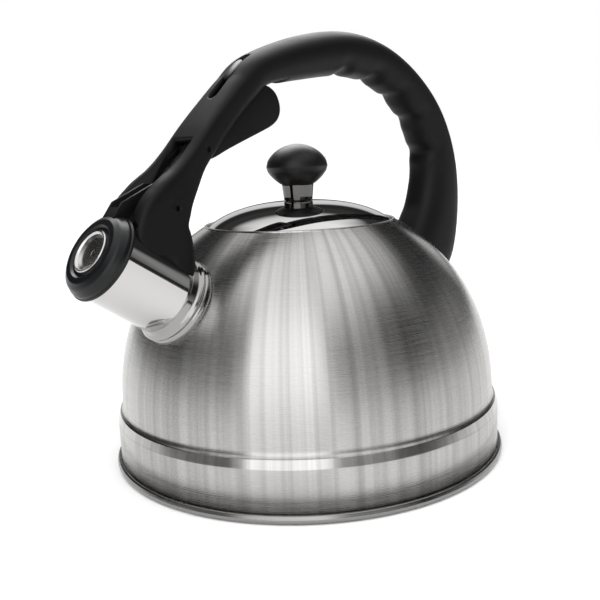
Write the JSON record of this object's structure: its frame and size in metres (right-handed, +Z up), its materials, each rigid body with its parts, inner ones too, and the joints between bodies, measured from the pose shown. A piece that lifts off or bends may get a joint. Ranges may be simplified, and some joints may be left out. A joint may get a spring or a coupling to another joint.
{
  "type": "stovetop whistling kettle",
  "caption": "Domed stovetop kettle with a lift-off lid, an arched handle and a whistling spout cap that a trigger under the handle opens.",
  "frame": {"origin": "middle of the kettle's underside, on the plane it stands on", "axes": "+Z up; the spout points along -X and the handle's arch lies in the XZ plane"},
  "size_m": [0.2756, 0.22, 0.232],
  "materials": {
    "brushed_body": "brushed round the body",
    "rolled_seam": "dark satin rolled edge",
    "plain_steel": "mill finish",
    "heat_disc": "bare",
    "polished_steel": "mirror polished",
    "whistle_chrome": "bright chrome",
    "screw_steel": "zinc plated",
    "handle_black": "fine matt texture",
    "cap_black": "satin",
    "knob_black": "satin",
    "silicone": "smooth"
  },
  "bodies": {
    "kettle": {"body_shell": "brushed_body", "base_seam": "rolled_seam", "base_plate": "plain_steel", "heat_disc": "heat_disc", "base_cap": "plain_steel", "spout_tube": "polished_steel", "spout_collar": "polished_steel", "handle": "handle_black", "front_bracket": "plain_steel", "rear_bracket": "plain_steel", "front_screw": "screw_steel", "rear_screw": "screw_steel", "slot_insert": "handle_black", "trigger_pin": "screw_steel", "return_spring": "screw_steel", "lever_pin": "screw_steel"},
    "trigger": {"trigger": "handle_black"},
    "lever": {"cap_lever": "handle_black", "drive_pin": "screw_steel", "lever_rivet": "screw_steel", "spout_cap": "cap_black", "cap_gasket": "silicone", "whistle_front": "whistle_chrome", "whistle_back": "whistle_chrome"},
    "lid": {"lid_dome": "polished_steel", "lid_skirt": "plain_steel", "lid_gasket": "silicone", "knob": "knob_black", "knob_ferrule": "whistle_chrome", "knob_screw": "screw_steel", "knob_washer": "screw_steel"}
  },
  "joints": [
    {"name": "trigger_squeeze", "type": "hinge", "parent": "kettle", "child": "trigger", "pos_m": [-0.06939, 0, 0.17061], "axis": [0, -1, 0], "range_deg": [0, 9.21], "stiffness_Nm_per_rad": 0.4, "springref_deg": -17.19, "deforming": ["return_spring"]},
    {"name": "cap_swing", "type": "hinge", "parent": "kettle", "child": "lever", "pos_m": [-0.09079, 0, 0.14419], "axis": [0, 1, 0], "range_deg": [0, 28.1]},
    {"name": "lid_lift", "type": "slide", "parent": "kettle", "child": "lid", "axis": [0, 0, 1], "range_m": [0, 0.02]}
  ],
  "couplings": [
    {"joint": "cap_swing", "follows": "trigger_squeeze", "ratio": 3.0396}
  ]
}
